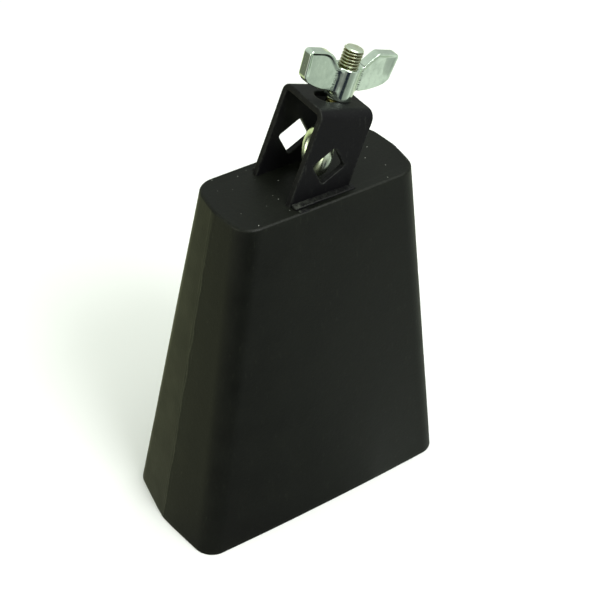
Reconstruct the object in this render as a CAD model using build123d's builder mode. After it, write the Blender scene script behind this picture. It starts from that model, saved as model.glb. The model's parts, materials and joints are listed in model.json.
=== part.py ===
from build123d import *
import math
import os

# Cowbell with a rod clamp, in millimetres. The mouth lies on the XY plane, +Z is up and -Y is the front.

# Bell body: a six-sided horn of sheet steel, widest at the mouth
bell_height = 165.0
wall = 1.6
mouth_half_length = 63.7
mouth_half_depth = 31.8
mouth_ridge_reach = 4.9
mouth_corner_radius = 9.0
mouth_bow = 1.1
crown_half_length = 41.0
crown_half_depth = 18.8
crown_ridge_reach = 2.6
crown_corner_radius = 9.0
crown_bow = 0.4
ridge_radius = 12.0
seam_width = 1.0

# Crown plate, let in just under the rim, and the fillet weld below it
crown_recess = 0.3
crown_thickness = 2.0
crown_weld_leg = 2.0
weld_toe = 0.2

# Mounting bracket: an upside-down U strap that leans to the right
lean_angle = 18.7
bracket_x = -3.0
strap_span = 25.8
strap_thickness = 2.6
strap_height = 36.4
strap_bend_radius = 4.0
strap_foot_width = 27.1
strap_top_width = 26.0
foot_depth = 12.0
foot_flare = 0.18

# Square rod holes in the legs, standing on their corners
rod_hole_side = 11.4
rod_hole_corner = 1.2
rod_hole_x = -0.9
rod_hole_height = 13.3

# Slot in the bracket's top, for the eye bolt
slot_left = -7.2
slot_right = 8.3
slot_width = 8.7

# Weld beads at the bracket's feet
front_bead_width = 3.1
front_bead_left = -16.5
front_bead_right = 12.4
rear_bead_width = 2.2
rear_bead_left = -16.0
rear_bead_right = 11.5
bead_height = 1.5

# Eye bolt, M8 thread, with its ring turned in the bracket
bolt_x = 3.3
thread_radius = 3.9
thread_pitch = 1.25
thread_depth = 0.68
crest_flat = 0.16
neck_radius = 3.45
thread_start = 29.0
bolt_tip = 57.0
tip_chamfer = 0.5
eye_height = 12.8
eye_ring_radius = 7.6
eye_wire_radius = 2.7
eye_turn = 76.0
neck_root = 1.2

# Wing nut
hub_height = 13.0
hub_base_radius = 5.6
hub_top_radius = 5.3
hub_edge = 0.7
nut_running_clearance = 0.05
nut_seat_gap = 0.03
wing_thickness = 4.2
wing_tip = 22.2
wing_foot = 21.2
wing_shoulder = 11.6
wing_top = 19.3
wing_tip_bottom = 8.3
wing_belly = 13.0
wing_belly_height = 4.8
wing_root_bottom = 3.3
wing_root_top = 13.0
wing_root = 4.2
wing_corner = 1.6

crown_level = bell_height - crown_recess
strap_plane = Plane(
    origin=(bracket_x, 0, bell_height),
    x_dir=(math.cos(math.radians(lean_angle)), 0, -math.sin(math.radians(lean_angle))),
    z_dir=(math.sin(math.radians(lean_angle)), 0, math.cos(math.radians(lean_angle))),
)
bolt_plane = Plane(strap_plane.origin + strap_plane.x_dir * bolt_x, strap_plane.x_dir, strap_plane.z_dir)
bolt_axis = Axis(bolt_plane.origin, bolt_plane.z_dir)

# Upright planes through the strap and the bolt: x across the front, or towards the back, and y up the lean
strap_front_plane = Plane(strap_plane.origin, strap_plane.x_dir, (0, -1, 0))
strap_side_plane = Plane(strap_plane.origin, (0, 1, 0), strap_plane.x_dir)
bolt_profile_plane = Plane(bolt_plane.origin, strap_plane.x_dir, (0, -1, 0))
turned = math.radians(eye_turn)
eye_x_dir = strap_plane.x_dir * math.cos(turned) + Vector(0, 1, 0) * math.sin(turned)
eye_plane = Plane(bolt_plane.origin + bolt_plane.z_dir * eye_height, eye_x_dir, eye_x_dir.cross(bolt_plane.z_dir))


def between(mouth_value, crown_value, height):
    """A size at a height, on the straight line from its mouth value to its crown value."""
    return mouth_value + (crown_value - mouth_value) * height / bell_height


def bell_section(height, inset=0.0):
    """The bell's six-sided outline at a height, moved in by inset."""
    half_length = between(mouth_half_length, crown_half_length, height)
    half_depth = between(mouth_half_depth, crown_half_depth, height)
    reach = between(mouth_ridge_reach, crown_ridge_reach, height)
    bow = between(mouth_bow, crown_bow, height)
    corner = between(mouth_corner_radius, crown_corner_radius, height)
    front_edge = half_depth - bow
    with BuildSketch(Plane.XY.offset(height)) as section:
        with BuildLine():
            ThreePointArc((-half_length, -front_edge), (0, -half_depth), (half_length, -front_edge))
            Line((half_length, -front_edge), (half_length + reach, 0))
            Line((half_length + reach, 0), (half_length, front_edge))
            ThreePointArc((half_length, front_edge), (0, half_depth), (-half_length, front_edge))
            Line((-half_length, front_edge), (-half_length - reach, 0))
            Line((-half_length - reach, 0), (-half_length, -front_edge))
        make_face()
        points = section.vertices()
        ridges = points.filter_by(lambda vertex: abs(vertex.Y) < half_depth / 2)
        corners = points.filter_by(lambda vertex: abs(vertex.Y) > half_depth / 2)
        fillet(corners, corner)
        fillet(ridges, ridge_radius)
        if inset > 0:
            offset(amount=-inset, kind=Kind.ARC)
    return section.sketch


def horn(low, high, inset=0.0):
    """The solid between two heights of the bell's outline, moved in by inset."""
    return loft([bell_section(low, inset), bell_section(high, inset)], ruled=True, mode=Mode.PRIVATE)


def body_slab(low_y, high_y, low_x, high_x):
    """A tall block that cuts one piece out of the bell's wall."""
    middle = ((low_x + high_x) / 2, (low_y + high_y) / 2, bell_height / 2)
    block = Box(high_x - low_x, high_y - low_y, 2 * bell_height, mode=Mode.PRIVATE)
    return Pos(*middle) * block


outer_horn = horn(0, bell_height)
inner_horn = horn(0, bell_height, wall)
bell_wall = outer_horn - inner_horn
far = 2 * mouth_half_length

with BuildPart() as front_shell:
    add(bell_wall & body_slab(-far, -seam_width / 2, -far, far))
front_shell.part.label = "front_shell"

with BuildPart() as rear_shell:
    add(bell_wall & body_slab(seam_width / 2, far, -far, far))
rear_shell.part.label = "rear_shell"

with BuildPart() as left_seam_weld:
    add(bell_wall & body_slab(-seam_width / 2, seam_width / 2, -far, 0))
left_seam_weld.part.label = "left_seam_weld"

with BuildPart() as right_seam_weld:
    add(bell_wall & body_slab(-seam_width / 2, seam_width / 2, 0, far))
right_seam_weld.part.label = "right_seam_weld"

plate_bottom = crown_level - crown_thickness

with BuildPart() as crown_plate:
    add(horn(plate_bottom, crown_level, wall))
crown_plate.part.label = "crown_plate"

# The weld fills the corner between the plate's underside and the wall
with BuildPart() as crown_weld:
    weld_bottom = plate_bottom - crown_weld_leg
    add(horn(weld_bottom, plate_bottom, wall))
    with_toe = [bell_section(weld_bottom, wall + weld_toe), bell_section(plate_bottom, wall + crown_weld_leg)]
    add(loft(with_toe, ruled=True, mode=Mode.PRIVATE), mode=Mode.SUBTRACT)
crown_weld.part.label = "crown_weld"

# Bracket: bent to an upside-down U, cut off level with the crown, and punched
with BuildPart() as mounting_bracket:
    with BuildSketch(strap_side_plane):
        with Locations((0, (strap_height - foot_depth) / 2)):
            outside = Rectangle(strap_span, strap_height + foot_depth)
        fillet(outside.vertices().group_by(Axis.Y)[-1], strap_bend_radius)
    extrude(amount=strap_foot_width / 2, both=True)
    with BuildSketch(strap_side_plane):
        with Locations((0, (strap_height - foot_depth) / 2 - strap_thickness)):
            inside = Rectangle(strap_span - 2 * strap_thickness, strap_height + foot_depth)
        fillet(inside.vertices().group_by(Axis.Y)[-1], strap_bend_radius - strap_thickness)
    extrude(amount=strap_foot_width, both=True, mode=Mode.SUBTRACT)
    with BuildSketch(strap_front_plane):
        Polygon(
            (-strap_foot_width / 2 - foot_flare, -foot_depth),
            (strap_foot_width / 2 + foot_flare, -foot_depth),
            (strap_top_width / 2, strap_height),
            (-strap_top_width / 2, strap_height),
            align=None,
        )
    extrude(amount=strap_span, both=True, mode=Mode.INTERSECT)
    with BuildSketch(strap_front_plane):
        with Locations((rod_hole_x, rod_hole_height)):
            RectangleRounded(rod_hole_side, rod_hole_side, rod_hole_corner, rotation=45)
    extrude(amount=strap_span, both=True, mode=Mode.SUBTRACT)
    with BuildSketch(strap_plane.offset(strap_height)):
        with Locations(((slot_left + slot_right) / 2, 0)):
            SlotOverall(slot_right - slot_left, slot_width)
    extrude(amount=-2 * strap_thickness, mode=Mode.SUBTRACT)
    split(bisect_by=Plane.XY.offset(crown_level), keep=Keep.TOP)
mounting_bracket.part.label = "mounting_bracket"


def foot_bead(side, width, left, right):
    """A weld bead along a leg's foot, on the side (-1 front, +1 back) that it faces."""
    foot = side * strap_span / 2
    bulge = bead_height / 3
    with BuildPart() as bead:
        with BuildSketch(Plane.YZ.offset(left)):
            with BuildLine():
                Line((foot, crown_level), (foot + side * width, crown_level))
                ThreePointArc(
                    (foot + side * width, crown_level),
                    (foot + side * width / 2, crown_level + bead_height / 2 + bulge),
                    (foot, crown_level + bead_height),
                )
                Line((foot, crown_level + bead_height), (foot, crown_level))
            make_face()
        extrude(amount=right - left)
    return bead


front_foot_weld = foot_bead(-1, front_bead_width, front_bead_left, front_bead_right)
front_foot_weld.part.label = "front_foot_weld"
rear_foot_weld = foot_bead(1, rear_bead_width, rear_bead_left, rear_bead_right)
rear_foot_weld.part.label = "rear_foot_weld"

# Eye bolt: a forged ring, a neck and a threaded shank
with BuildPart(eye_plane) as eye_bolt:
    Torus(eye_ring_radius, eye_wire_radius)
    with BuildSketch(bolt_profile_plane):
        with BuildLine():
            ring_top = eye_height + eye_ring_radius
            outline = [(0, ring_top - neck_root), (eye_wire_radius - neck_root / 2, ring_top)]
            outline += [(neck_radius, ring_top + eye_wire_radius), (neck_radius, thread_start)]
            turns = int((bolt_tip - tip_chamfer - thread_start) / thread_pitch)
            for turn in range(turns):
                foot = thread_start + turn * thread_pitch
                outline += [(thread_radius - thread_depth, foot)]
                outline += [(thread_radius, foot + thread_pitch / 2 - crest_flat / 2)]
                outline += [(thread_radius, foot + thread_pitch / 2 + crest_flat / 2)]
            outline += [(thread_radius - thread_depth, thread_start + turns * thread_pitch)]
            outline += [(thread_radius - tip_chamfer, bolt_tip), (0, bolt_tip)]
            Polyline(*outline, close=True)
        make_face()
    revolve(axis=bolt_axis)
eye_bolt.part.label = "eye_bolt"

# Wing nut: a long hub bored for the bolt, with a wing on each side
with BuildPart() as wing_nut:
    nut_base = strap_height + nut_seat_gap
    with BuildSketch(bolt_profile_plane):
        Polygon(
            (0, nut_base),
            (hub_base_radius - hub_edge, nut_base),
            (hub_base_radius, nut_base + hub_edge),
            (hub_top_radius, nut_base + hub_height - hub_edge),
            (hub_top_radius - hub_edge, nut_base + hub_height),
            (0, nut_base + hub_height),
            align=None,
        )
    revolve(axis=bolt_axis)
    with BuildSketch(bolt_profile_plane) as wings:
        with BuildLine():
            root_low = (wing_root, nut_base + wing_root_bottom)
            foot = (wing_foot, nut_base + wing_tip_bottom)
            tip = (wing_tip, nut_base + wing_top)
            shoulder = (wing_shoulder, nut_base + wing_top)
            root_high = (wing_root, nut_base + wing_root_top)
            belly = (wing_belly, nut_base + wing_belly_height)
            ThreePointArc(root_low, belly, foot)
            Polyline(foot, tip, shoulder, root_high, root_low)
        make_face()
        fillet(wings.vertices().sort_by(Axis.X)[-2:], wing_corner)
        mirror(about=Plane.YZ)
    extrude(amount=wing_thickness / 2, both=True)
    with BuildSketch(bolt_plane.offset(nut_base)):
        Circle(thread_radius + nut_running_clearance)
    extrude(amount=hub_height + wing_top, mode=Mode.SUBTRACT)
wing_nut.part.label = "wing_nut"

os.makedirs("parts", exist_ok=True)
pieces = [
    front_shell,
    rear_shell,
    crown_plate,
    left_seam_weld,
    right_seam_weld,
    crown_weld,
    mounting_bracket,
    front_foot_weld,
    rear_foot_weld,
    eye_bolt,
    wing_nut,
]
for piece in pieces:
    export_step(piece.part, f"parts/{piece.part.label}.step")
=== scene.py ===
"""The looks of a cowbell with a rod clamp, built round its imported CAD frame. Lengths are in metres."""

import itertools
import json
import math

import bmesh
import bpy
import numpy as np
from mathutils import Matrix, Vector, geometry, noise


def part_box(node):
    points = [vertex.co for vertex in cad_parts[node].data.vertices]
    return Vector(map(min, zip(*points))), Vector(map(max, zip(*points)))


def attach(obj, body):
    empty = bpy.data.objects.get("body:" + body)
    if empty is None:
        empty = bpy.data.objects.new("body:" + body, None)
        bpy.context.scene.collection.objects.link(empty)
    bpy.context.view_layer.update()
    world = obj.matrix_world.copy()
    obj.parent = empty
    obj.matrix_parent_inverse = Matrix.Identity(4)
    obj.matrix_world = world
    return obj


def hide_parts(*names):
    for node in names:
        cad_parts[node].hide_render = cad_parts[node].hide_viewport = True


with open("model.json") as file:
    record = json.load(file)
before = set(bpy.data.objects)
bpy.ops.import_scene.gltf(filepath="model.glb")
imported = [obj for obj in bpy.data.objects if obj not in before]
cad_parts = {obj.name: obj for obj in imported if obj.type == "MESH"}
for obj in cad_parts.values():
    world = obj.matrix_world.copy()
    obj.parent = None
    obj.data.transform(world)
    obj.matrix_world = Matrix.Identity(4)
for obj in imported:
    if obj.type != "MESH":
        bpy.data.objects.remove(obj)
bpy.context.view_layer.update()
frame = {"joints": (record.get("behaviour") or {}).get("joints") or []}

MM = 0.001
TAU = 2 * math.pi

# The bell's outline at its two ends. Sizes between them lie on straight lines.
bell_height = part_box("front_shell")[1].z
mouth_sizes = {"half_length": 63.7 * MM, "half_depth": 31.8 * MM, "reach": 4.9 * MM, "bow": 1.1 * MM}
crown_sizes = {"half_length": 41.0 * MM, "half_depth": 18.8 * MM, "reach": 2.6 * MM, "bow": 0.4 * MM}
corner_radius = 9.0 * MM
ridge_radius = 12.0 * MM
wall = 1.6 * MM
mouth_edge = 0.55 * MM
crown_lip = 0.95 * MM
crown_inner_edge = 0.25 * MM
seam_gap = 0.5 * MM

# The crown plate and the welds of the body
plate_low, plate_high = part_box("crown_plate")
plate_overlap = 0.02 * MM
crown_weld_leg = 2.0 * MM
seam_half_width = 2.6 * MM
seam_line_height = 0.10 * MM
seam_line_width = 0.42 * MM
seam_sway = 1.1 * MM
seam_flutter = 0.10 * MM
seam_pit_depth = 0.30 * MM
seam_pit_width = 0.32 * MM
seam_pit_offset = -1.5 * MM
seam_fade = 30 * MM

# How deep the pressed sheet is dented: in broad and small dents everywhere, and along the side ridges
broad_dent = 0.16 * MM
small_dent = 0.05 * MM
ridge_flat = 0.12 * MM
ridge_dent = 0.3 * MM

# The leaning axes of the bracket and the bolt, from the nut's joint
joints = {joint["name"]: joint for joint in frame["joints"]}
nut_seat = Vector(joints["wing_nut_turn"]["pos_m"])
lean_up = Vector(joints["wing_nut_turn"]["axis"]).normalized()
lean_right = Vector((lean_up.z, 0, -lean_up.x))
backwards = Vector((0, 1, 0))
lean_axes = np.array([lean_right, backwards, lean_up])

# The bracket, a bent strap
strap_height = 36.4 * MM
bolt_offset = 3.3 * MM
strap_foot = nut_seat - lean_up * strap_height - lean_right * bolt_offset
strap_span = 25.8 * MM
strap_thickness = 2.6 * MM
strap_bend_radius = 4.0 * MM
strap_foot_half_width = 13.55 * MM
strap_top_half_width = 13.0 * MM
strap_edge = 0.45 * MM
strap_edge_wear = 0.3
strap_sink = 0.5 * MM
rod_hole_side = 11.4 * MM
rod_hole_corner = 1.2 * MM
rod_hole_x = -0.9 * MM
rod_hole_height = 13.3 * MM
slot_left = -7.2 * MM
slot_right = 8.3 * MM
slot_width = 8.7 * MM

# The eye bolt
thread_radius = 3.9 * MM
thread_pitch = 1.25 * MM
thread_depth = 0.7 * MM
thread_start = 29.0 * MM - strap_height
bolt_tip = 56.95 * MM - strap_height
tip_chamfer = 0.5 * MM
neck_radius = 3.45 * MM
# How dark the thread is painted: on its crests, more in its grooves, and below the nut, inside the strap, as
# painted shade.
painted_shade_top = -0.5 * MM
crest_stain = 0.54
groove_darkening = 0.46
painted_shade_below_nut = 0.95
eye_height = 12.8 * MM - strap_height
eye_ring_radius = 7.6 * MM
eye_wire_radius = 2.7 * MM
eye_turn = math.radians(76)

# The wing nut. Heights are above its seat.
hub_height = 13.0 * MM
hub_base_radius = 5.6 * MM
hub_top_radius = 5.3 * MM
hub_flare_height = 7 * MM
hub_edge = 0.5 * MM
nut_bore_radius = 3.95 * MM
wing_half_thickness = 2.1 * MM
wing_edge = 0.45 * MM
wing_top = 19.3 * MM
wing_reach = 22.2 * MM
wing_dish = 0.65 * MM
dish_margin = 0.5 * MM
dish_slope = 1.5 * MM
dish_start = 8 * MM
dish_rise = 8 * MM
dish_end_fade = 6 * MM
wing_fillet = 1.4 * MM
seam_groove = 0.3 * MM
seam_groove_width = 0.30 * MM


# ---- mesh making


def unit(vectors):
    """Vectors of length 1, along the last axis."""
    return vectors / np.linalg.norm(vectors, axis=-1, keepdims=True)


def unevenness(points, size, seed):
    """Smooth noise from -1 to 1 at each point, with bumps of about that size."""
    shift = Vector((seed * 7.3, seed * 3.1, seed * 5.7))
    values = [noise.noise(Vector(point) / size + shift) for point in points.reshape(-1, 3)]
    return np.array(values).reshape(points.shape[:-1])


def grid_faces(rows, columns, wrap_rows=False, wrap_columns=False):
    """Quads between the neighbouring points of a grid, wrapped round where asked."""
    number = np.arange(rows * columns).reshape(rows, columns)
    if wrap_rows:
        number = np.vstack([number, number[:1]])
    if wrap_columns:
        number = np.hstack([number, number[:, :1]])
    corners = [number[:-1, :-1], number[:-1, 1:], number[1:, 1:], number[1:, :-1]]
    return np.stack(corners, axis=-1).reshape(-1, 4).tolist()


def bar_faces(rows):
    """Faces of a solid bar. Each column is its section at one place, and the first and last are its ends."""
    count, columns = rows.shape[:2]
    ends = [[row * columns + column for row in range(count)] for column in (0, columns - 1)]
    return grid_faces(count, columns, wrap_rows=True) + ends


def stack_faces(rows):
    """Faces of a solid made of rings. Each row is one ring, and the first and last are its ends."""
    count, columns = rows.shape[:2]
    ends = [[row * columns + column for column in range(columns)] for row in (0, count - 1)]
    return grid_faces(count, columns, wrap_columns=True) + ends


def add_object(name, data):
    """A new object of the scene."""
    made = bpy.data.objects.new(name, data)
    bpy.context.scene.collection.objects.link(made)
    return made


def make_piece(name, points, faces, body, slot, stands_for=(), edge=None, normals=None):
    """A smooth mesh piece that rides on a body. edge, 0 to 1 at each point, holds wear and grime, and in
    places painted highlight and painted shade.
    """
    mesh = bpy.data.meshes.new(name)
    mesh.from_pydata(np.asarray(points).reshape(-1, 3).tolist(), [], faces)
    if edge is not None:
        worn = np.ravel(edge).astype(np.float32)
        mesh.attributes.new("edge", "FLOAT", "POINT").data.foreach_set("value", worn)
    if normals is None:
        tidy = bmesh.new()
        tidy.from_mesh(mesh)
        bmesh.ops.remove_doubles(tidy, verts=tidy.verts, dist=0.002 * MM)
        bmesh.ops.recalc_face_normals(tidy, faces=tidy.faces)
        tidy.to_mesh(mesh)
        tidy.free()
    mesh.shade_smooth()
    if normals is not None:
        mesh.normals_split_custom_set_from_vertices(normals.tolist())
    made = add_object(name, mesh)
    mesh.materials.append(materials[slot])
    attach(made, body)
    if stands_for:
        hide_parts(*stands_for)
    return made


def outline_distance(x, y, outline):
    """Distance from points to a closed outline, negative inside it."""
    nearest = np.full(np.shape(x), np.inf)
    inside = np.zeros(np.shape(x), bool)
    for start, end in zip(outline, np.roll(outline, -1, axis=0)):
        along_x, along_y = end - start
        from_x, from_y = x - start[0], y - start[1]
        share = np.clip((from_x * along_x + from_y * along_y) / (along_x**2 + along_y**2), 0, 1)
        nearest = np.minimum(nearest, (from_x - along_x * share) ** 2 + (from_y - along_y * share) ** 2)
        level = (start[1] > y) != (end[1] > y)
        inside ^= level & ((from_x * along_y < along_x * from_y) == (along_y > 0))
    return np.where(inside, -1, 1) * np.sqrt(nearest)


def round_off(first, second, radius):
    """Distance to what lies in both of two shapes, with the edge between them rounded."""
    reach = np.hypot(np.maximum(first + radius, 0), np.maximum(second + radius, 0))
    return np.minimum(np.maximum(first, second), -radius) + reach


def fill_in(first, second, radius):
    """Distance to what lies in either of two shapes, with a fillet where they meet."""
    reach = np.hypot(np.maximum(radius - first, 0), np.maximum(radius - second, 0))
    return np.maximum(np.minimum(first, second), radius) - reach


def ease(share):
    """A smooth step from 0 to 1."""
    share = np.clip(share, 0, 1)
    return share**2 * (3 - 2 * share)


def slope_of(field, points, step):
    """How fast a distance field grows along X, Y and Z at each point."""
    sides = np.eye(3) * step
    return np.stack([field(points + side) - field(points - side) for side in sides], axis=-1) / (2 * step)


grid_step = np.eye(3, dtype=int)
cell_corners = [np.array(corner) for corner in itertools.product((0, 1), repeat=3)]
settling_rounds = 4


def surface_cells(solid):
    """The grid cells that the surface passes through, and each cell's number in that list."""
    shape = tuple(length - 1 for length in solid.shape)
    filled = np.zeros(shape, dtype=int)
    for corner in cell_corners:
        filled += solid[tuple(slice(first, first + count) for first, count in zip(corner, shape))]
    mixed = (filled > 0) & (filled < len(cell_corners))
    cells = np.argwhere(mixed)
    number = np.full(shape, -1)
    number[mixed] = np.arange(len(cells))
    return cells, number


def cell_middles(value, cells):
    """The mean place, in grid steps, of the zeros of the field along each cell's edges."""
    total = np.zeros((len(cells), 3))
    count = np.zeros(len(cells))
    for corner, axis in itertools.product(cell_corners, range(3)):
        if corner[axis]:
            continue
        start = cells + corner
        first = value[tuple(start.T)]
        second = value[tuple((start + grid_step[axis]).T)]
        crossed = (first < 0) != (second < 0)
        share = first[crossed] / (first[crossed] - second[crossed])
        total[crossed] += start[crossed] + share[:, None] * grid_step[axis]
        count[crossed] += 1
    return total / count[:, None]


def cell_quads(solid, number):
    """A quad between the four cells round each grid edge that the surface crosses."""
    faces = []
    for axis in range(3):
        across, upward = grid_step[(axis + 1) % 3], grid_step[(axis + 2) % 3]
        start = np.argwhere(np.diff(solid.astype(int), axis=axis) != 0)
        ring = [start - across - upward, start - upward, start, start - across]
        quads = np.stack([number[tuple(cell.T)] for cell in ring], axis=-1)
        inward = ~solid[tuple(start.T)]
        quads[inward] = quads[inward][:, ::-1]
        faces += quads.tolist()
    return faces


def skin_of(field, low, high, pitch):
    """The closed quad mesh where a distance field is zero: its points, faces and normals."""
    axes = [np.arange(start - 2 * pitch, end + 3 * pitch, pitch) for start, end in zip(low, high)]
    value = field(np.stack(np.meshgrid(*axes, indexing="ij"), axis=-1))
    solid = value < 0
    cells, number = surface_cells(solid)
    points = np.array([axis[0] for axis in axes]) + pitch * cell_middles(value, cells)
    for _ in range(settling_rounds):
        slope = slope_of(field, points, pitch / 20)
        points -= slope * (field(points) / (slope**2).sum(axis=1))[:, None]
    return points, cell_quads(solid, number), unit(slope_of(field, points, pitch / 20))


# ---- materials


def add_node(tree, kind, inputs=None, **settings):
    """A shader node with its settings, its inputs by name or number set to values or linked to sockets."""
    made = tree.nodes.new("ShaderNode" + kind)
    for name, value in settings.items():
        setattr(made, name, value)
    for key, value in (inputs or {}).items():
        if isinstance(value, bpy.types.NodeSocket):
            tree.links.new(value, made.inputs[key])
        else:
            made.inputs[key].default_value = value
    return made


def new_material(name, **values):
    """A material with one Principled shader, its node tree and the shader."""
    material = bpy.data.materials.new(name)
    material.use_nodes = True
    shader = material.node_tree.nodes["Principled BSDF"]
    for socket, value in values.items():
        shader.inputs[socket.replace("_", " ")].default_value = value
    return material, material.node_tree, shader


def grain(tree, place, size, detail=3.0, roughness=0.5, stretch=(1, 1, 1)):
    """Noise from 0 to 1 with lumps of about that size, longer along any axis that is stretched."""
    scale = [1 / (size * length) for length in stretch]
    mapping = add_node(tree, "Mapping", {"Vector": place, "Scale": scale})
    inputs = {"Vector": mapping.outputs["Vector"], "Scale": 1.0, "Detail": detail, "Roughness": roughness}
    return add_node(tree, "TexNoise", inputs).outputs["Fac"]


def spread(tree, value, low, high, to_low=0.0, to_high=1.0):
    """A value carried from one range to another, and clipped there."""
    inputs = {"Value": value, "From Min": low, "From Max": high, "To Min": to_low, "To Max": to_high}
    return add_node(tree, "MapRange", inputs).outputs["Result"]


def combine(tree, operation, first, second):
    """Two values put together by one operation."""
    return add_node(tree, "Math", {0: first, 1: second}, operation=operation).outputs["Value"]


def times(tree, first, second):
    """Two values multiplied."""
    return combine(tree, "MULTIPLY", first, second)


def tint(tree, amount, first, second):
    """A colour between two others."""
    return add_node(tree, "Mix", {0: amount, 6: first, 7: second}, data_type="RGBA").outputs[2]


def bump(tree, height, depth, under=None):
    """A normal that rises and falls by depth, on top of another."""
    inputs = {"Height": height, "Distance": depth, "Strength": 1.0}
    if under is not None:
        inputs["Normal"] = under
    return add_node(tree, "Bump", inputs).outputs["Normal"]


def wear_and_highlight(tree, place):
    """How much rubbing and painted highlight the coat shows, from the edge attribute, broken up by grain."""
    edge = add_node(tree, "Attribute", attribute_name="edge").outputs["Fac"]
    patches = spread(tree, grain(tree, place, 1.6 * MM, detail=5.0), 0.35, 0.65)
    return times(tree, edge, patches)


def specks(tree, place):
    """Sparse specks of dust on what faces up."""
    spacing = 5.5 * MM
    cells = add_node(tree, "TexVoronoi", {"Vector": place, "Scale": 1 / spacing}, voronoi_dimensions="2D")
    near = spread(tree, cells.outputs["Distance"], 0.022, 0.038, 1.0, 0.0)
    chance = add_node(tree, "SeparateColor", {"Color": cells.outputs["Color"]}).outputs["Red"]
    chosen = spread(tree, chance, 0.58, 0.90)
    normal = add_node(tree, "NewGeometry").outputs["Normal"]
    facing = add_node(tree, "SeparateXYZ", {"Vector": normal}).outputs["Z"]
    upward = spread(tree, facing, 0.93, 0.98)
    return times(tree, times(tree, near, chosen), upward)


def coat_material(name, dark, light, worn_and_highlight_colour, roughness, specular, dusty):
    """A black coat on steel: mottled, orange-peeled, scuffed, rubbed at its edges, and painted lighter where
    edge holds highlights.
    """
    material, tree, shader = new_material(name, Specular_IOR_Level=specular)
    place = add_node(tree, "TexCoord").outputs["Object"]
    mottle = spread(tree, grain(tree, place, 14 * MM, detail=5.0), 0.3, 0.7)
    fine = grain(tree, place, 0.5 * MM, detail=2.0)
    peel = grain(tree, place, 1.5 * MM, detail=1.0)
    scuffs = grain(tree, place, 1.2 * MM, detail=6.0, roughness=0.7, stretch=(1, 1, 6))
    scuffed = spread(tree, scuffs, 0.60, 0.78)
    worn = wear_and_highlight(tree, place)
    speckle = spread(tree, grain(tree, place, 0.42 * MM, detail=1.0), 0.3, 0.7)
    half_mottle = times(tree, mottle, 0.5)
    half_speckle = times(tree, speckle, 0.5)
    colour = tint(tree, combine(tree, "ADD", half_mottle, half_speckle), dark, light)
    colour = tint(tree, times(tree, scuffed, 0.35), colour, worn_and_highlight_colour)
    # Rubbed edges, and the painted highlights on weld tops and the seam line, in one colour
    colour = tint(tree, worn, colour, worn_and_highlight_colour)
    if dusty:
        colour = tint(tree, specks(tree, place), colour, dust_pale)
    tree.links.new(colour, shader.inputs["Base Color"])
    rough = spread(tree, mottle, 0, 1, roughness - 0.05, roughness + 0.05)
    rough = combine(tree, "SUBTRACT", rough, times(tree, scuffed, 0.10))
    rough = combine(tree, "SUBTRACT", rough, times(tree, worn, 0.12))
    tree.links.new(rough, shader.inputs["Roughness"])
    normal = bump(tree, peel, 0.035 * MM)
    tree.links.new(bump(tree, fine, 0.035 * MM, normal), shader.inputs["Normal"])
    return material


def plated_material(name, bright, dull, grime_and_shade_colour, roughness, waviness):
    """Bright plating: faintly stained, finely scratched, not quite flat, and darkened where edge says: the
    nut's dark seams, the thread's grooves, and painted shade on the bolt below the nut.
    """
    material, tree, shader = new_material(name, Metallic=1.0)
    place = add_node(tree, "TexCoord").outputs["Object"]
    stain = spread(tree, grain(tree, place, 5 * MM, detail=6.0, roughness=0.6), 0.42, 0.72)
    scratches = grain(tree, place, 0.35 * MM, detail=2.0, stretch=(1, 1, 9))
    scratched = spread(tree, scratches, 0.62, 0.74)
    waves = grain(tree, place, 3.2 * MM, detail=1.0)
    pits = spread(tree, grain(tree, place, 0.45 * MM, detail=1.0), 0.70, 0.80, 1.0, 0.0)
    grime_and_shade_amount = add_node(tree, "Attribute", attribute_name="edge").outputs["Fac"]
    colour = tint(tree, grime_and_shade_amount, tint(tree, stain, bright, dull), grime_and_shade_colour)
    tree.links.new(colour, shader.inputs["Base Color"])
    rough = spread(tree, stain, 0, 1, roughness, roughness + 0.12)
    rough = combine(tree, "ADD", rough, times(tree, scratched, 0.10))
    tree.links.new(rough, shader.inputs["Roughness"])
    normal = bump(tree, waves, waviness)
    tree.links.new(bump(tree, pits, 0.012 * MM, normal), shader.inputs["Normal"])
    return material


olive_black = (0.0020, 0.0024, 0.0016, 1)
olive_light = (0.0056, 0.0066, 0.0044, 1)
bracket_black = (0.0024, 0.0023, 0.0030, 1)
bracket_light = (0.0046, 0.0044, 0.0052, 1)
# The rubbed olive also paints a highlight along the side seams' raised line.
rubbed_and_highlight_olive = (0.032, 0.036, 0.023, 1)
# The rubbed grey also paints the highlight on the weld runs' tops.
rubbed_and_highlight_grey = (0.062, 0.067, 0.056, 1)
dust_pale = (0.46, 0.47, 0.43, 1)
chrome_bright = (0.74, 0.86, 0.73, 1)
chrome_dull = (0.60, 0.71, 0.60, 1)
seam_dark = (0.08, 0.09, 0.085, 1)
zinc_bright = (0.76, 0.86, 0.70, 1)
zinc_dull = (0.56, 0.60, 0.38, 1)
thread_dark = (0.13, 0.108, 0.024, 1)
materials = {
    "bell_coat": coat_material(
        "bell_coat", olive_black, olive_light, rubbed_and_highlight_olive, roughness=0.46, specular=0.17, dusty=True
    ),
    "bracket_coat": coat_material(
        "bracket_coat", bracket_black, bracket_light, rubbed_and_highlight_grey, roughness=0.50, specular=0.12, dusty=False
    ),
    "nut_chrome": plated_material(
        "nut_chrome", chrome_bright, chrome_dull, seam_dark, roughness=0.09, waviness=0.05 * MM
    ),
    "eye_bolt_plating": plated_material(
        "eye_bolt_plating", zinc_bright, zinc_dull, thread_dark, roughness=0.25, waviness=0.03 * MM
    ),
}


# ---- the bell's body


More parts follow.
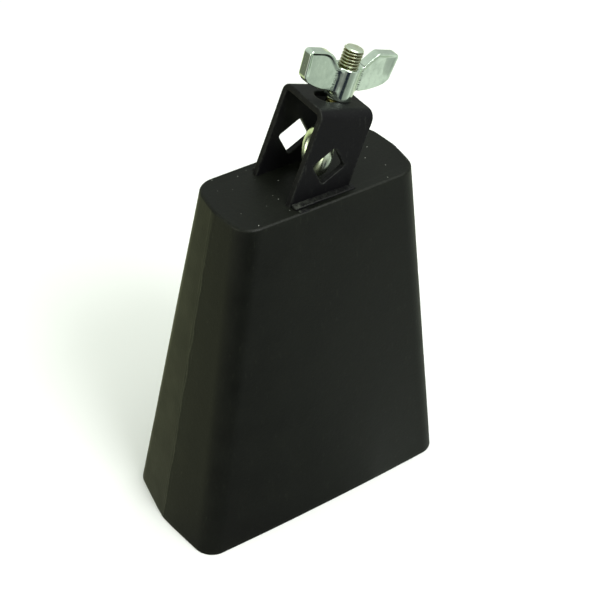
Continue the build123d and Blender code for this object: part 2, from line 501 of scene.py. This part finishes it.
def round_corner(before, corner, after, radius, steps):
    """Points round a rounded corner of a path, from one tangent point to the other."""
    to_before = unit(before - corner)
    to_after = unit(after - corner)
    half_angle = math.acos(to_before @ to_after) / 2
    centre = corner + unit(to_before + to_after) * radius / math.sin(half_angle)
    first = corner + to_before * radius / math.tan(half_angle) - centre
    last = corner + to_after * radius / math.tan(half_angle) - centre
    turn = math.atan2(first[0] * last[1] - first[1] * last[0], first @ last)
    angles = np.linspace(0, turn, steps)
    turned_x = first[0] * np.cos(angles) - first[1] * np.sin(angles)
    turned_y = first[0] * np.sin(angles) + first[1] * np.cos(angles)
    return centre + np.stack([turned_x, turned_y], axis=-1)


def straight(start, end, steps):
    """Points between two others, without them."""
    share = np.linspace(0, 1, steps + 2)[1:-1, None]
    return start + (end - start) * share


def half_outline(height):
    """The front half of the bell's outline at a height, from left ridge to right, and its normals."""
    share = height / bell_height
    size = {key: mouth_sizes[key] + (crown_sizes[key] - mouth_sizes[key]) * share for key in mouth_sizes}
    edge = size["half_depth"] - size["bow"]
    ridge = np.array((-size["half_length"] - size["reach"], 0))
    corner = np.array((-size["half_length"], -edge))
    mirrored = np.array((-1, 1))
    ridge_arc = round_corner(corner * (1, -1), ridge, corner, ridge_radius, 13)[6:]
    corner_arc = round_corner(ridge, corner, corner * mirrored, corner_radius, 15)
    facet = straight(ridge_arc[-1], corner_arc[0], 12)
    left = np.vstack([ridge_arc, facet, corner_arc])
    right = left[::-1] * mirrored
    points = np.vstack([left, straight(left[-1], right[0], 64), right])
    points[:, 1] -= size["bow"] * np.maximum(1 - (points[:, 0] / size["half_length"]) ** 2, 0)
    along = np.gradient(points, axis=0)
    along[0] = along[-1] = (0, 0)
    along[0, 1], along[-1, 1] = -1, 1
    normals = unit(np.stack([along[:, 1], -along[:, 0]], axis=-1))
    return points, normals


def wall_row(height, inset):
    """One row of the wall's true surface round the front half, moved in by inset, and its normals."""
    points, normals = half_outline(height)
    points = points - normals * inset
    return np.column_stack([points, np.full(len(points), height)]), normals


def dented_row(height, inset):
    """One row of the wall's dented surface round the front half."""
    row, normals = wall_row(height, inset)
    row[:, :2] -= normals * dents(row)[:, None]
    return row


def quarter(radius, steps):
    """How far along and how far in a quarter round is, step by step."""
    angles = np.linspace(0, math.pi / 2, steps)
    return radius * np.sin(angles), radius * (1 - np.cos(angles))


def wall_profile(steps=70):
    """Heights and insets round the sheet's section: up the outside, over the lip, down the inside."""
    up, across = quarter(crown_lip, 9)
    down, inner = quarter(crown_inner_edge, 4)
    low_up, low_across = quarter(mouth_edge, 6)
    outside = np.linspace(mouth_edge, bell_height - crown_lip, steps)[1:-1]
    inside = np.linspace(bell_height - crown_inner_edge, mouth_edge, 70)[1:-1]
    parts = [
        (outside, np.zeros(len(outside))),
        (bell_height - crown_lip + up, across),
        (bell_height - crown_inner_edge + down[::-1], wall - inner[::-1]),
        (inside, np.full(len(inside), wall)),
        (mouth_edge - low_up, wall - low_across),
        (mouth_edge - low_up[::-1], low_across[::-1]),
    ]
    return np.hstack(parts)


def dents(points):
    """How far the pressed sheet lies below its true shape, most of all along the side ridges."""
    broad = 0.5 + 0.5 * unevenness(points, 38 * MM, 1)
    small = 0.5 + 0.5 * unevenness(points, 9 * MM, 2)
    along_ridge = 0.5 + 0.5 * unevenness(points * (0, 0, 1), 17 * MM, 3)
    near_ridge = np.exp(-((points[..., 1] / (5 * MM)) ** 2))
    return broad_dent * broad + small_dent * small + (ridge_flat + ridge_dent * along_ridge) * near_ridge


def shell(name, side):
    """One pressed half of the bell, side -1 for the front and 1 for the rear."""
    heights, insets = wall_profile()
    rows = np.array([dented_row(height, inset) for height, inset in zip(heights, insets)])
    rows[..., 1] = np.minimum(rows[..., 1], -seam_gap)
    rows[..., 1] *= -side
    lip = np.exp(-(((heights - bell_height + 0.3 * MM) / (0.9 * MM)) ** 2))
    rim = np.exp(-((heights / (0.8 * MM)) ** 2))
    edge = np.repeat((0.10 * lip + 0.25 * rim)[:, None], rows.shape[1], axis=1)
    make_piece(name + "_skin", rows, bar_faces(rows), "bell", "bell_coat", [name], edge=edge)


def full_ring(height, inset):
    """The bell's whole dented outline at a height, moved in by inset, once round."""
    front = dented_row(height, inset)
    rear = front[::-1] * (1, -1, 1)
    return np.vstack([front, rear[1:-1]])


def lip_height(inset):
    """The height of the wall's rounded lip at a distance in from the outside."""
    run = max(crown_lip - inset, 0)
    return bell_height - crown_lip + math.sqrt(crown_lip**2 - run**2)


def crown_plate():
    """The plate let into the crown. The coat on it runs unevenly over the joint onto the wall's lip."""
    # How far in each ring of the coat is, and how far it stands above the lip's level there
    insets = np.array([0.5, 0.62, 0.85, 1.1, 1.35, 1.7, 2.2, 3.0, 4.2]) * MM
    lifts = np.array([-0.12, 0.05, 0.045, 0.04, 0.035, 0.02, -0.02, -0.06, -0.08]) * MM
    let_in = wall + plate_overlap
    sides = [full_ring(plate_low.z, let_in), full_ring(bell_height - crown_lip, let_in)]
    sides += [full_ring(lip_height(inset) + lift, inset) for inset, lift in zip(insets, lifts)]
    shrink = np.linspace(0.97, 0.05, 16)
    inner = [sides[-1] * (scale, scale, 1) for scale in shrink]
    for ring in inner:
        ring[:, 2] -= 0.12 * MM * (0.5 + 0.5 * unevenness(ring, 16 * MM, 4))
    rows = np.array(sides + inner)
    lip_rings = slice(3, 5)
    edge = np.zeros(rows.shape[:2])
    edge[lip_rings] = 0.12
    make_piece("crown_plate_skin", rows, stack_faces(rows), "bell", "bell_coat", ["crown_plate"], edge=edge)


def crown_weld():
    """The rippled fillet weld under the crown plate."""
    top = plate_low.z + 0.1 * MM
    steps = np.linspace(0, 1, 7)
    belly = 0.35 * MM * np.sin(math.pi * steps)
    rows = [full_ring(top - crown_weld_leg, wall - 0.3 * MM)]
    for share, swell in zip(steps, belly):
        ring = full_ring(top - crown_weld_leg * (1 - share), wall + crown_weld_leg * share + swell)
        turn = np.arctan2(ring[:, 1], ring[:, 0])
        ripple = 0.5 + 0.5 * np.sin(turn * 95 + 1.5 * np.sin(turn * 7))
        ring[:, 2] += 0.3 * MM * ripple * math.sin(math.pi * share)
        rows.append(ring)
    rows.append(full_ring(top, wall - 0.3 * MM))
    rows = np.array(rows)
    faces = grid_faces(*rows.shape[:2], wrap_rows=True, wrap_columns=True)
    make_piece("crown_weld_bead", rows, faces, "bell", "bell_coat", ["crown_weld"])


ridge_columns = 24


def beside_ridge(height, inset, side, y):
    """Points of the dented wall at distances y from a side ridge, and the wall's normals there."""
    order = slice(None) if side < 0 else slice(None, None, -1)
    row, normals = wall_row(height, inset)
    row, normals = row[order][:ridge_columns], normals[order][:ridge_columns]
    x = np.interp(np.abs(y), -row[:, 1], row[:, 0])
    sideways = [np.interp(np.abs(y), -row[:, 1], normals[:, axis]) for axis in range(2)]
    across = unit(np.stack(sideways, axis=-1))
    points = np.column_stack([x, -np.abs(y), np.full(len(y), height)])
    points[:, :2] -= across * dents(points)[:, None]
    turned = np.where(y > 0, -1, 1)
    points[:, 1] *= turned
    across[:, 1] *= turned
    return points, across


def seam_marks(height, y, side):
    """How strong the seam's raised line and its pits are at a height, at distances y from the ridge."""
    sway = noise.noise(Vector((side * 4, 0, height / (11 * MM))))
    flutter = noise.noise(Vector((side * 4, 2, height / (2 * MM))))
    dots = noise.noise(Vector((side * 9, 5, height / (1.3 * MM))))
    from_line = y - (seam_sway * sway + seam_flutter * flutter)
    line = np.exp(-((from_line / seam_line_width) ** 2)) * (0.75 + 0.5 * flutter)
    pits = np.exp(-(((from_line - seam_pit_offset) / seam_pit_width) ** 2))
    pits *= np.clip(0.55 + 1.1 * dots, 0.15, 1)
    return line, pits


def seam_bead(name, side):
    """The dressed weld down a side ridge, side -1 for the left and 1 for the right, with pits in front and a
    lighter raised line.
    """
    heights, insets = wall_profile(260)
    section = np.column_stack([-insets, heights])
    along = unit(np.roll(section, -1, axis=0) - np.roll(section, 1, axis=0))
    y = np.linspace(-1, 1, 41) * seam_half_width
    sunk_sides = 0.03 * MM - 0.25 * MM * (y / seam_half_width) ** 8
    rows, edge = [], []
    for height, inset, (inward, upward) in zip(heights, insets, along):
        surface, across = beside_ridge(height, inset, side, y)
        shown = float(inset == 0) * np.clip((bell_height - height) / seam_fade, 0, 1)
        line, pits = (mark * shown for mark in seam_marks(height, y, side))
        rise = sunk_sides + seam_line_height * line - seam_pit_depth * pits
        surface[:, :2] += across * (rise * upward)[:, None]
        surface[:, 2] = np.maximum(surface[:, 2] - rise * inward, 0)
        rows.append(surface)
        # The raised line is coloured lighter: rubbing, and a painted highlight along the ridge.
        edge.append(0.5 * line)
    rows = np.array(rows)
    make_piece(name + "_bead", rows, bar_faces(rows), "bell", "bell_coat", [name], edge=np.array(edge))


# ---- the bracket


def lean_point(x, y, z):
    """Points from distances to the right, backwards and up the lean from the strap's foot."""
    return np.array(strap_foot) + np.stack([x, y, z], axis=-1) @ lean_axes


def strap_bend():
    """The strap's middle sheet when flat: half its top's length, a bend's length, and a bend's radius."""
    radius = strap_bend_radius - strap_thickness / 2
    half_top = strap_span / 2 - strap_bend_radius
    return half_top, radius * math.pi / 2, radius


def bend_strap(across, along, outward):
    """Points of the flat strap carried onto the bent one. along is 0 mid-top and negative in front."""
    half_top, arc, radius = strap_bend()
    side = np.sign(along)
    past = np.abs(along) - half_top
    angle = np.clip(past / radius, 0, math.pi / 2)
    reach = radius + outward
    y = half_top + np.minimum(past, 0) + reach * np.sin(angle)
    z = strap_height - strap_bend_radius + reach * np.cos(angle) - np.maximum(past - arc, 0)
    return lean_point(across, side * y, z)


def flat_height(height):
    """How far along the flat strap a height of the leg is."""
    half_top, arc, _ = strap_bend()
    return half_top + arc + strap_height - strap_bend_radius - height


def subdivide(corners, spacing):
    """A closed outline's corners with points between them, no further apart than spacing."""
    points = []
    for start, end in zip(corners, np.roll(corners, -1, axis=0)):
        steps = max(1, math.ceil(np.linalg.norm(end - start) / spacing))
        points += [start + (end - start) * step / steps for step in range(steps)]
    return np.array(points)


def strap_outline():
    """The flat strap's edge: its width narrows upwards, and its feet are cut along the slanting crown."""
    slant = -lean_right.z / lean_up.z
    foot_x = np.linspace(-1, 1, 40)[:, None] * strap_foot_half_width
    foot = np.hstack([foot_x, -flat_height(slant * foot_x - strap_sink)])
    side_along = np.linspace(-1, 1, 120)[1:-1, None] * flat_height(slant * strap_foot_half_width)
    widest = flat_height(0)
    widening = strap_foot_half_width - strap_top_half_width
    side_x = strap_top_half_width + widening * (side_along / widest) ** 2
    right = np.hstack([side_x, side_along])
    return np.vstack([foot, right, foot[::-1] * (1, -1), right[::-1] * (-1, 1)])


def rounded_square(side, corner, steps=8):
    """A square standing on its corner, its corners rounded, about the origin."""
    reach = side / math.sqrt(2)
    tips = reach * np.array([(0, -1), (1, 0), (0, 1), (-1, 0)])
    neighbours = zip(np.roll(tips, 1, axis=0), tips, np.roll(tips, -1, axis=0))
    turns = [round_corner(*three, corner, steps) for three in neighbours]
    return subdivide(np.vstack(turns), 0.9 * MM)


def slot_outline():
    """The slot in the strap's top, with round ends."""
    radius = slot_width / 2
    angles = np.linspace(-math.pi / 2, math.pi / 2, 24)
    turn = np.stack([np.cos(angles), np.sin(angles)], axis=-1) * radius
    right = turn + (slot_right - radius, 0)
    left = -turn + (slot_left + radius, 0)
    return subdivide(np.vstack([right, left]), 0.6 * MM)


def outward_normals(outline, is_hole):
    """Unit normals of a closed outline that point out of the material."""
    along = unit(np.roll(outline, -1, axis=0) - np.roll(outline, 1, axis=0))
    normals = np.stack([along[:, 1], -along[:, 0]], axis=-1)
    area = np.sum(outline[:, 0] * np.roll(outline[:, 1], -1) - outline[:, 1] * np.roll(outline[:, 0], -1))
    return normals * (1 if (area > 0) != is_hole else -1)


def flat_faces(loops, spacing):
    """Triangles that fill the first loop outside the others: points and faces."""
    reach = np.abs(loops[0]).max(axis=0)
    ticks = [np.arange(-limit, limit, step) for limit, step in zip(reach, spacing)]
    x, y = (values.ravel() for values in np.meshgrid(*ticks))
    keep = outline_distance(x, y, loops[0]) < -0.35 * spacing[0]
    for hole in loops[1:]:
        keep &= outline_distance(x, y, hole) > 0.35 * spacing[0]
    points = np.vstack([*loops, np.column_stack([x[keep], y[keep]])])
    edges, first = [], 0
    for loop in loops:
        numbers = np.arange(first, first + len(loop))
        edges += np.column_stack([numbers, np.roll(numbers, -1)]).tolist()
        first += len(loop)
    made = geometry.delaunay_2d_cdt([Vector(point) for point in points], edges, [], 0, 1e-9)
    points = np.array([tuple(point) for point in made[0]])
    faces = np.array(made[2])
    centre = points[faces].mean(axis=1)
    inside = outline_distance(*centre.T, loops[0]) < 0
    for hole in loops[1:]:
        inside &= outline_distance(*centre.T, hole) > 0
    return points, faces[inside]


def edge_section():
    """Steps round the strap's rounded edge: how far out in the sheet's plane, and how far out of it."""
    out, down = quarter(strap_edge, 6)
    half = strap_thickness / 2
    above = np.column_stack([out - strap_edge, half - down])
    return np.vstack([above, above[::-1] * (1, -1)])


def bracket():
    """The bracket: a flat blank with rounded edges, punched and bent."""
    leg_middle = flat_height(rod_hole_height)
    rod_hole = rounded_square(rod_hole_side, rod_hole_corner)
    rod_holes = [rod_hole + (rod_hole_x, middle) for middle in (-leg_middle, leg_middle)]
    outlines = [strap_outline(), slot_outline(), *rod_holes]
    normals = [outward_normals(outline, index > 0) for index, outline in enumerate(outlines)]
    loops = [outline - normal * strap_edge for outline, normal in zip(outlines, normals)]
    flat, triangles = flat_faces(loops, (1.0 * MM, 0.5 * MM))
    half = strap_thickness / 2
    points = [bend_strap(*flat.T, half), bend_strap(*flat.T, -half)]
    faces = [*triangles.tolist(), *(triangles[:, ::-1] + len(flat)).tolist()]
    edge = [np.zeros(2 * len(flat))]
    first = 2 * len(flat)
    section = edge_section()
    for outline, normal in zip(outlines, normals):
        rows = np.array([bend_strap(*(outline + normal * out).T, outward) for out, outward in section])
        points.append(rows.reshape(-1, 3))
        faces += (np.array(grid_faces(len(section), len(outline), wrap_columns=True)) + first).tolist()
        worn = np.exp(-(((np.abs(section[:, 1]) - half + strap_edge / 3) / (0.5 * strap_edge)) ** 2))
        edge.append(np.repeat(strap_edge_wear * worn, len(outline)))
        first += rows.shape[0] * rows.shape[1]
    points, edge = np.vstack(points), np.concatenate(edge)
    made = make_piece("bracket_strap", points, faces, "bell", "bracket_coat", ["mounting_bracket"], edge)
    made.modifiers.new("even_shading", "WEIGHTED_NORMAL").keep_sharp = False


def weld_run(name, left, right, front, width, height, seed, stands_for=()):
    """A weld run along X, centred at front: flat-topped, rippled, pitted, lower at its right end, with a
    painted highlight on its top.
    """
    base = plate_high.z
    edge_radius = 0.4 * min(width, height)
    droop = 0.4

    def field(points):
        share = np.clip((points[..., 0] - left) / (right - left), 0, 1)
        even = np.ones_like(share)
        half = np.stack([(right - left) / 2 * even, width / 2 * even, height * (1 - droop * share)], axis=-1)
        out = np.abs(points - np.array(((left + right) / 2, front, base))) - half + edge_radius
        box = np.linalg.norm(np.maximum(out, 0), axis=-1) + np.minimum(out.max(axis=-1), 0) - edge_radius
        wave = unevenness(points, 1.7 * MM, seed)
        pits = np.maximum(unevenness(points, 0.8 * MM, seed + 5) - 0.4, 0)
        ripple = np.sin(points[..., 0] / (0.21 * MM) + 3 * wave)
        return box - height * (0.10 * wave + 0.03 * ripple - 0.35 * pits)

    margin = 0.5 * MM
    low = (left - margin, front - width / 2 - margin, base - 0.4 * MM)
    high = (right + margin, front + width / 2 + margin, base + height + margin)
    sunk = 0.3 * MM

    def cut_field(points):
        return np.maximum(field(points), base - sunk - points[..., 2])

    points, faces, normals = skin_of(cut_field, low, high, 0.2 * MM)
    # Painted highlight: edge colours the weld's upward-facing top lighter, as if lit from above, less so
    # towards its right end.
    along = np.clip((points[:, 0] - left) / (right - left), 0, 1)
    top = ease((points[:, 2] - base) / height - 0.2) * np.clip(normals[:, 2], 0, 1)
    edge = top * (1 - 0.7 * ease(3 * along))
    make_piece(name, points, faces, "bell", "bracket_coat", stands_for, edge, normals)


def foot_welds():
    """The beads along the bracket's feet, with two thinner runs in front."""
    front, rear = -strap_span / 2, strap_span / 2
    main = front - 1.4 * MM
    weld_run("front_foot_bead", -16.3 * MM, 12.2 * MM, main, 3.4 * MM, 1.25 * MM, 11, ["front_foot_weld"])
    weld_run("front_second_run", -15.6 * MM, -10.8 * MM, front - 4.4 * MM, 1.7 * MM, 0.7 * MM, 12)
    weld_run("front_thin_run", -11.3 * MM, 9.0 * MM, front - 3.8 * MM, 0.7 * MM, 0.28 * MM, 14)
    main = rear + 0.9 * MM
    weld_run("rear_foot_bead", -15.8 * MM, 11.3 * MM, main, 2.4 * MM, 1.2 * MM, 13, ["rear_foot_weld"])


# ---- the eye bolt and the nut


def bolt_point(x, y, z):
    """Points from distances to the right, backwards and up the bolt from the nut's seat."""
    return np.array(nut_seat) + np.stack([x, y, z], axis=-1) @ lean_axes


def bolt_place(points):
    """Distances to the right, backwards and up the bolt from the nut's seat, for points of the frame."""
    return np.moveaxis((points - np.array(nut_seat)) @ lean_axes.T, -1, 0)


def bolt_box(x, y, z):
    """The lowest and highest corners of a box set along the bolt, from its two limits each way."""
    corners = np.array([bolt_point(*corner) for corner in itertools.product(x, y, z)])
    return corners.min(axis=0), corners.max(axis=0)


def thread_tooth(height, angle):
    """How high the thread's surface is, from 0 at its root to 1 at its crest, on a right-hand helix."""
    phase = (height / thread_pitch - angle / TAU) % 1
    rise = np.clip(1.22 - 2.44 * np.abs(phase - 0.5), 0, 1)
    return 0.5 - 0.5 * np.cos(math.pi * rise)


def thread_surface(height, angle):
    """The bolt's radius: the thread runs out into the neck, and ends at the chamfered tip."""
    radius = thread_radius - thread_depth * (1 - thread_tooth(height, angle))
    started = np.clip((height - thread_start) / (1.6 * MM), 0, 1)
    radius = neck_radius + (radius - neck_radius) * started
    chamfer = thread_radius - np.maximum(height - (bolt_tip - tip_chamfer), 0)
    return np.minimum(radius, chamfer)


def thread_darkening_and_shade(height, angles):
    """How dark the thread is painted at a height: darker in its grooves, and darkest below the nut, where
    painted shade stands for the strap's shadow.
    """
    if height > painted_shade_top:
        return crest_stain + groove_darkening * (1 - thread_tooth(height, angles))
    # Painted shade: below the nut, inside the strap and its slot, the thread is coloured dark.
    return np.full(len(angles), painted_shade_below_nut)


def bolt_circle(radius, angles, height):
    """Points round the bolt at a height."""
    return bolt_point(radius * np.cos(angles), radius * np.sin(angles), np.full(len(angles), height))


def bolt_shank():
    """The threaded shank, with a slightly domed tip."""
    heights = np.arange(thread_start - 1.0 * MM, bolt_tip, thread_pitch / 16)
    heights = np.append(heights, bolt_tip)
    angles = np.arange(84) / 84 * TAU
    # stain holds the thread's darkening, including the painted shade below the nut.
    rows, stain = [], []
    for height in heights:
        rows.append(bolt_circle(thread_surface(height, angles), angles, height))
        stain.append(thread_darkening_and_shade(height, angles) * (height < bolt_tip - tip_chamfer))
    end_radius = thread_radius - tip_chamfer
    for share in (0.85, 0.6, 0.3):
        level = bolt_tip - 0.12 * MM * (1 - share) ** 2
        rows.append(bolt_circle(end_radius * share, angles, level))
        stain.append(np.zeros(len(angles)))
    rows, stain = np.array(rows), np.array(stain)
    make_piece("bolt_shank", rows, stack_faces(rows), "eye_bolt", "eye_bolt_plating", ["eye_bolt"], stain)


def ring_field(points):
    """Distance to the forged ring and its neck."""
    x, y, z = bolt_place(points)
    flat = x * math.cos(eye_turn) + y * math.sin(eye_turn)
    through = y * math.cos(eye_turn) - x * math.sin(eye_turn)
    ring = np.hypot(np.hypot(flat, z - eye_height) - eye_ring_radius, through) - eye_wire_radius
    neck_low = eye_height + eye_ring_radius
    neck_high = thread_start - 0.5 * MM
    neck = round_off(np.hypot(x, y) - neck_radius, np.maximum(neck_low - z, z - neck_high), 0.15 * MM)
    return fill_in(ring, neck, 1.6 * MM)


def bolt_ring():
    """The eye bolt's ring and neck."""
    reach = eye_ring_radius + eye_wire_radius
    sides = (-reach, reach)
    low, high = bolt_box(sides, sides, (eye_height - reach, thread_start))
    points, faces, normals = skin_of(ring_field, low, high, 0.3 * MM)
    make_piece("bolt_ring", points, faces, "eye_bolt", "eye_bolt_plating", normals=normals)


def curve(start, pull, end, steps):
    """Points of a curve from start to end, bent towards pull."""
    share = np.linspace(0, 1, steps)[:, None]
    return start * (1 - share) ** 2 + pull * 2 * share * (1 - share) + end * share**2


def wing_outline(shoulder_radius):
    """One wing's outline: distance from the bolt's axis, and height above the seat."""
    foot = np.array((21.2, 8.2)) * MM
    tip = np.array((wing_reach, wing_top))
    shoulder = np.array((11.6 * MM, wing_top))
    root_high = np.array((3.0, 10.0)) * MM
    root_low = np.array((3.0, 3.0)) * MM
    belly = np.array((13.2, 3.6)) * MM
    belly_start = np.array((6.5, 3.3)) * MM
    belly_end = foot - (2.0 * MM, 1.7 * MM)
    corners = [
        root_low[None],
        curve(belly_start, belly, belly_end, 14),
        round_corner(belly, foot, tip, 2.0 * MM, 8),
        round_corner(foot, tip, shoulder, 1.6 * MM, 8),
        round_corner(tip, shoulder, root_high, shoulder_radius, 10),
        root_high[None],
    ]
    return np.vstack(corners)


left_wing_line = wing_outline(9.0 * MM)
right_wing_line = wing_outline(3.0 * MM)


def wing_recess(x, z, inside_wing):
    """How deep the wings' faces are sunk: most under their tops, and fading to the right wing's end."""
    from_edge = ease((-inside_wing - dish_margin) / dish_slope)
    from_end = np.where(x < 0, 1, ease((wing_reach - x) / dish_end_fade))
    return wing_dish * from_edge * from_end * ease((z - dish_start) / dish_rise)


def hub_radius(z):
    """The hub's radius at a height: flared a little towards its base."""
    flare = np.clip(1 - z / hub_flare_height, 0, 1) ** 1.5
    return hub_top_radius + (hub_base_radius - hub_top_radius) * flare


def nut_parts(points):
    """Distances to the wing nut's hub and to its wings, for points of the frame."""
    x, y, z = bolt_place(points)
    ends = np.abs(z - hub_height / 2) - hub_height / 2
    hub = round_off(np.hypot(x, y) - hub_radius(z), ends, hub_edge)
    inside_wing = np.empty_like(x)
    for side, line in ((x < 0, left_wing_line), (x >= 0, right_wing_line)):
        inside_wing[side] = outline_distance(np.abs(x[side]), z[side], line)
    faces = np.abs(y) - wing_half_thickness + wing_recess(x, z, inside_wing)
    return hub, round_off(inside_wing, faces, wing_edge)


def wing_seam(points):
    """How near points are to the pitted seams where the hub's fillets run into the wings, from 0 to 1."""
    hub, wing = nut_parts(points)
    z = bolt_place(points)[2]
    fine, middling, coarse = 0.12 * MM, 0.31 * MM, 0.7 * MM
    beads = np.sin(z / fine + 1.5 * np.sin(z / coarse)) + 0.5 * np.sin(z / middling + 0.7)
    near = np.exp(-((hub - wing_fillet) ** 2 + wing**2) / seam_groove_width**2)
    return near * np.clip(0.25 + 0.75 * beads, 0, 1)


def nut_field(points):
    """Distance to the cast wing nut."""
    x, y, _ = bolt_place(points)
    body = fill_in(*nut_parts(points), wing_fillet) + seam_groove * wing_seam(points)
    return np.maximum(body, nut_bore_radius - np.hypot(x, y))


def wing_nut():
    """The wing nut, cast in one piece."""
    side = hub_base_radius + 0.5 * MM
    low, high = bolt_box((-wing_reach, wing_reach), (-side, side), (0, wing_top))
    points, faces, normals = skin_of(nut_field, low, high, 0.24 * MM)
    make_piece(
        "wing_nut_casting", points, faces, "wing_nut", "nut_chrome", ["wing_nut"], wing_seam(points), normals
    )


# ---- stage, lights and camera


def stage_sheet(name, size, material, place=Matrix.Identity(4)):
    """A flat stage piece, size across, facing its own +Z."""
    mesh = bpy.data.meshes.new(name)
    half = size / 2
    corners = [(-half, -half, 0), (half, -half, 0), (half, half, 0), (-half, half, 0)]
    mesh.from_pydata(corners, [], [(0, 1, 2, 3)])
    made = add_object(name, mesh)
    made.matrix_world = place
    mesh.materials.append(material)
    return made


def floor_material():
    """A plain pale matte floor."""
    material, tree, shader = new_material("floor", Roughness=0.9, Specular_IOR_Level=0.2)
    place = add_node(tree, "TexCoord").outputs["Object"]
    cloud = grain(tree, place, 0.35)
    colour = tint(tree, cloud, (0.86, 0.86, 0.86, 1), (0.90, 0.90, 0.90, 1))
    tree.links.new(colour, shader.inputs["Base Color"])
    return material


def between_angles(tree, turn, start, end, softness=4):
    """1 where a direction is between two others, all in degrees but turn, and 0 elsewhere."""
    low, high, soft = (math.radians(value) for value in (start, end, softness))
    rising = spread(tree, turn, low - soft, low)
    falling = spread(tree, turn, high, high + soft, 1.0, 0.0)
    return times(tree, rising, falling)


def reflected_floor():
    """A sheet just over the floor that only reflections see: the light and dark of the room around."""
    settings = {"Base_Color": (0, 0, 0, 1), "Specular_IOR_Level": 0.0, "Emission_Strength": 1.0}
    material, tree, shader = new_material("reflected_floor", **settings)
    place = add_node(tree, "TexCoord").outputs["Object"]
    axes = add_node(tree, "SeparateXYZ", {"Vector": place}).outputs
    turn = combine(tree, "ARCTAN2", axes["X"], times(tree, axes["Y"], -1.0))
    ramp = add_node(tree, "ValToRGB", {"Fac": spread(tree, turn, -math.pi, math.pi)})
    stops = ramp.color_ramp.elements
    for degrees, _ in floor_reflections[1:-1]:
        stops.new((degrees + 180) / 360)
    for stop, (_, colour) in zip(stops, floor_reflections):
        stop.color = (*colour, 1)
    distance = add_node(tree, "VectorMath", {"Vector": place}, operation="LENGTH").outputs["Value"]
    seen = ramp.outputs["Color"]
    for (start, end), (near, far), colour in floor_shapes:
        beside = between_angles(tree, turn, start, end)
        beyond = spread(tree, distance, near, far)
        seen = tint(tree, times(tree, beside, beyond), seen, (*colour, 1))
    tree.links.new(seen, shader.inputs["Emission Color"])
    sheet = stage_sheet("reflected_floor", 8.0, material, Matrix.Translation((0, 0, 0.2 * MM)))
    sheet.visible_camera = False
    sheet.visible_diffuse = False
    sheet.visible_shadow = False


def area_light(name, place, target, size, power, colour=(1, 1, 1), spread_degrees=180):
    """A soft square light that faces a point."""
    light = bpy.data.lights.new(name, "AREA")
    light.spread = math.radians(spread_degrees)
    light.size = size
    light.energy = power
    light.color = colour
    made = add_object(name, light)
    made.location = place
    made.rotation_euler = (Vector(target) - Vector(place)).to_track_quat("-Z", "Y").to_euler()


def soft_world():
    """An even pale surround, a little darker towards the horizon."""
    world = bpy.data.worlds.new("studio")
    bpy.context.scene.world = world
    world.use_nodes = True
    tree = world.node_tree
    place = add_node(tree, "TexCoord").outputs["Generated"]
    height = add_node(tree, "SeparateXYZ", {"Vector": place}).outputs["Z"]
    share = spread(tree, height, -0.1, 0.7)
    colour = tint(tree, share, (0.60, 0.64, 0.60, 1), (0.91, 0.97, 0.91, 1))
    tree.links.new(colour, tree.nodes["Background"].inputs["Color"])
    tree.nodes["Background"].inputs["Strength"].default_value = 0.75


# What reflections see of the floor, by the direction from the bell: 0 is its front, 90 its right
floor_reflections = [
    (-180, (0.84, 0.92, 0.52)),
    (-150, (0.68, 0.74, 0.42)),
    (-115, (0.58, 0.62, 0.39)),
    (-92, (0.50, 0.53, 0.36)),
    (-70, (0.27, 0.27, 0.25)),
    (-45, (0.22, 0.22, 0.22)),
    (-15, (0.28, 0.30, 0.28)),
    (15, (0.33, 0.36, 0.33)),
    (34, (0.48, 0.52, 0.48)),
    (38, (0.50, 0.55, 0.49)),
    (42, (0.76, 0.82, 0.75)),
    (65, (0.50, 0.55, 0.48)),
    (110, (0.72, 0.78, 0.60)),
    (150, (0.74, 0.80, 0.54)),
    (180, (0.84, 0.92, 0.52)),
]

# Shapes on it: between which directions, between which distances they come in, and their colour
floor_shapes = [
    ((-112, -58), (0.40, 0.60), (0.66, 0.64, 0.62)),
    ((-34, -12), (0.13, 0.18), (0.02, 0.024, 0.036)),
    ((-138, -122), (0.40, 0.60), (0.17, 0.18, 0.14)),
]


def studio():
    """A pale floor, soft lights and the surround."""
    stage_sheet("floor", 8.0, floor_material())
    reflected_floor()
    soft_world()
    middle = (0, 0, bell_height * 0.6)
    area_light("key", (0.15, -0.85, 1.15), middle, 0.5, 12)
    area_light("left", (-1.2, 0.1, 0.5), middle, 0.8, 2.5, (0.96, 1.0, 0.72), 120)
    area_light("top", (0.4, -0.2, 1.6), middle, 1.1, 9, (0.93, 1.0, 0.9))


# The camera's place, its azimuth, elevation and roll in degrees, and its focal length in mm
camera_place = (-0.2645, -0.3552, 0.4948)
camera_angles = (-36.72, 41.72, 3.71)
camera_lens = 84.1


def camera():
    """The camera, at the photograph's viewing angle."""
    made = add_object("camera", bpy.data.cameras.new("camera"))
    azimuth, elevation, roll = (math.radians(angle) for angle in camera_angles)
    level = math.cos(elevation)
    back = Vector((math.sin(azimuth) * level, -math.cos(azimuth) * level, math.sin(elevation)))
    right = Vector((math.cos(azimuth), math.sin(azimuth), 0))
    up = back.cross(right)
    turned_right = right * math.cos(roll) + up * math.sin(roll)
    turned_up = up * math.cos(roll) - right * math.sin(roll)
    facing = Matrix((turned_right, turned_up, back)).transposed().to_4x4()
    made.matrix_world = Matrix.Translation(camera_place) @ facing
    made.data.sensor_width = 36
    made.data.lens = camera_lens
    made.data.clip_start = 0.01
    bpy.context.scene.camera = made


shell("front_shell", -1)
shell("rear_shell", 1)
crown_plate()
crown_weld()
seam_bead("left_seam_weld", -1)
seam_bead("right_seam_weld", 1)
bracket()
foot_welds()
bolt_shank()
bolt_ring()
wing_nut()
studio()
camera()
bpy.context.scene.view_settings.view_transform = "Standard"
